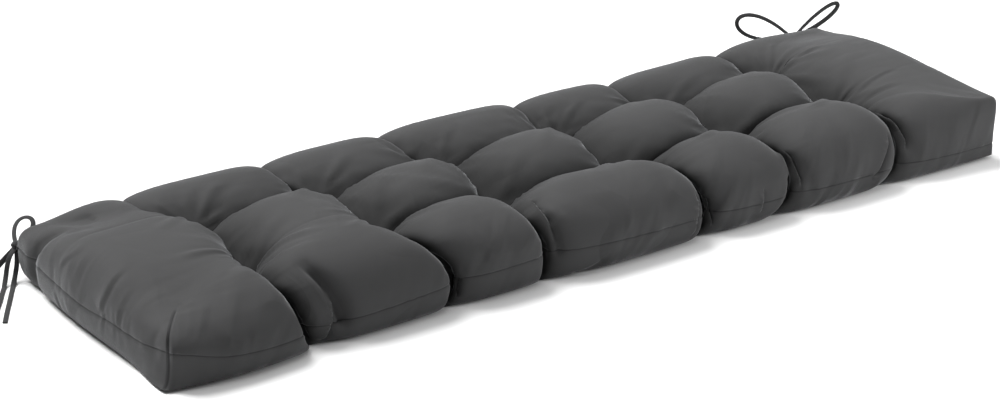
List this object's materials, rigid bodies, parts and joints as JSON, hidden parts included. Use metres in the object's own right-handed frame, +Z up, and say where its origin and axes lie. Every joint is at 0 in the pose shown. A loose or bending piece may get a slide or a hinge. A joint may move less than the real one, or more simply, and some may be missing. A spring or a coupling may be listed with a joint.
{
  "type": "bench cushion",
  "caption": "Long tufted seat cushion for a bench: boxed and filled, with pulled tacks, a sewn seam round its side and tie tapes at its back corners.",
  "frame": {"origin": "middle of the cushion's footprint, on the surface it lies on", "axes": "+X along the cushion's length, +Y to its back, where the ties are, +Z up"},
  "size_m": [1.6886, 0.5661, 0.1316],
  "materials": {
    "cushion_cloth": "matt charcoal woven polyester",
    "tape_cloth": "folded and stitched tape of the same cloth"
  },
  "bodies": {
    "root": {"cushion": "cushion_cloth", "tie_left_knot": "tape_cloth", "tie_left_lead": "tape_cloth", "tie_left_loop_a": "tape_cloth", "tie_left_loop_b": "tape_cloth", "tie_left_tail_a": "tape_cloth", "tie_left_tail_b": "tape_cloth", "tie_right_knot": "tape_cloth", "tie_right_lead": "tape_cloth", "tie_right_loop_a": "tape_cloth", "tie_right_loop_b": "tape_cloth", "tie_right_tail_a": "tape_cloth", "tie_right_tail_b": "tape_cloth"}
  },
  "joints": []
}
